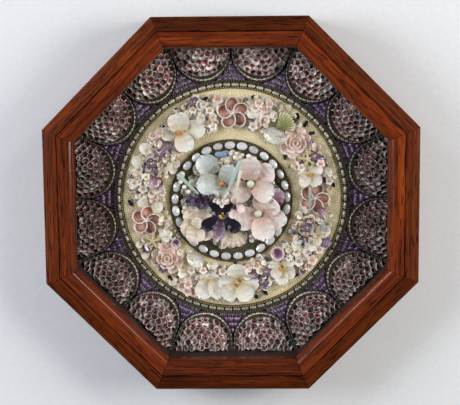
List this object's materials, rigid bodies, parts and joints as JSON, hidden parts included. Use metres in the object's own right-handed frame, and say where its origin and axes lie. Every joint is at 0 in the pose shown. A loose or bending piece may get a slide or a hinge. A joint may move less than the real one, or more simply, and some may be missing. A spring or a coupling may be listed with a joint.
{
  "type": "octagonal shell box",
  "caption": "Octagonal hardwood box lying on its back, with a deep-set shellwork picture: shell-filled arches, bead rings, a wreath and a bouquet of shell flowers.",
  "frame": {"origin": "on the resting plane, under the middle of the octagonal back", "axes": "+Z out of the picture, +Y towards the picture's top edge, +X to the picture's right"},
  "size_m": [0.3, 0.3, 0.05],
  "materials": {
    "case_wood": "satin, red-brown hardwood",
    "moulding_wood": "gloss, red-brown hardwood",
    "back_wood": "matte, plain board",
    "bed_card": "matte",
    "liner_card": "matte, dark brown",
    "strip_card": "satin, dark olive brown",
    "cup_shell": "satin, pink and white shell",
    "silver_bead": "gloss, silver-lined glass beads",
    "cream_shell": "matte, cream shell granules",
    "white_shell": "satin, white shell",
    "pink_shell": "satin, pale pink shell",
    "red_brown_shell": "satin, red-brown shell with a white rim",
    "pearly_shell": "pearly, bluish white shell",
    "dark_purple_shell": "satin, dark purple shell",
    "green_shell": "satin, green-tinted ribbed shell",
    "purple_spine": "satin, purple sea-urchin spines"
  },
  "bodies": {
    "root": {"case_side_1": "case_wood", "case_side_2": "case_wood", "case_side_3": "case_wood", "case_side_4": "case_wood", "case_side_5": "case_wood", "case_side_6": "case_wood", "case_side_7": "case_wood", "case_side_8": "case_wood", "inner_moulding_1": "moulding_wood", "inner_moulding_2": "moulding_wood", "inner_moulding_3": "moulding_wood", "inner_moulding_4": "moulding_wood", "inner_moulding_5": "moulding_wood", "inner_moulding_6": "moulding_wood", "inner_moulding_7": "moulding_wood", "inner_moulding_8": "moulding_wood", "back_board": "back_wood", "bed": "bed_card", "liner": "liner_card", "scalloped_strip": "strip_card", "arch_shells_1": "cup_shell", "arch_shells_2": "cup_shell", "arch_shells_3": "cup_shell", "arch_shells_4": "cup_shell", "arch_shells_5": "cup_shell", "arch_shells_6": "cup_shell", "arch_shells_7": "cup_shell", "arch_shells_8": "cup_shell", "arch_shells_9": "cup_shell", "arch_shells_10": "cup_shell", "arch_shells_11": "cup_shell", "arch_shells_12": "cup_shell", "arch_shells_13": "cup_shell", "arch_shells_14": "cup_shell", "arch_shells_15": "cup_shell", "arch_shells_16": "cup_shell", "outer_ring": "silver_bead", "medallion_ring": "silver_bead", "cream_ground": "cream_shell", "starfish_right": "cream_shell", "starfish_left": "cream_shell", "cream_flower_right": "cream_shell", "white_blossom_lower_right": "white_shell", "white_flower_bottom": "white_shell", "white_blossom_bottom_left": "white_shell", "white_shells_left": "white_shell", "white_flower_upper_left": "white_shell", "rose_upper_right": "pink_shell", "rose_lower_left": "pink_shell", "pink_flower_upper": "pink_shell", "pink_flower_lower": "pink_shell", "cream_rose": "pink_shell", "pinwheel_top": "red_brown_shell", "pinwheel_right": "red_brown_shell", "pinwheel_left": "red_brown_shell", "pearly_disc": "pearly_shell", "pearly_shell_left": "pearly_shell", "blue_white_flower": "pearly_shell", "dark_pansy": "dark_purple_shell", "green_fan": "green_shell"}
  },
  "joints": []
}
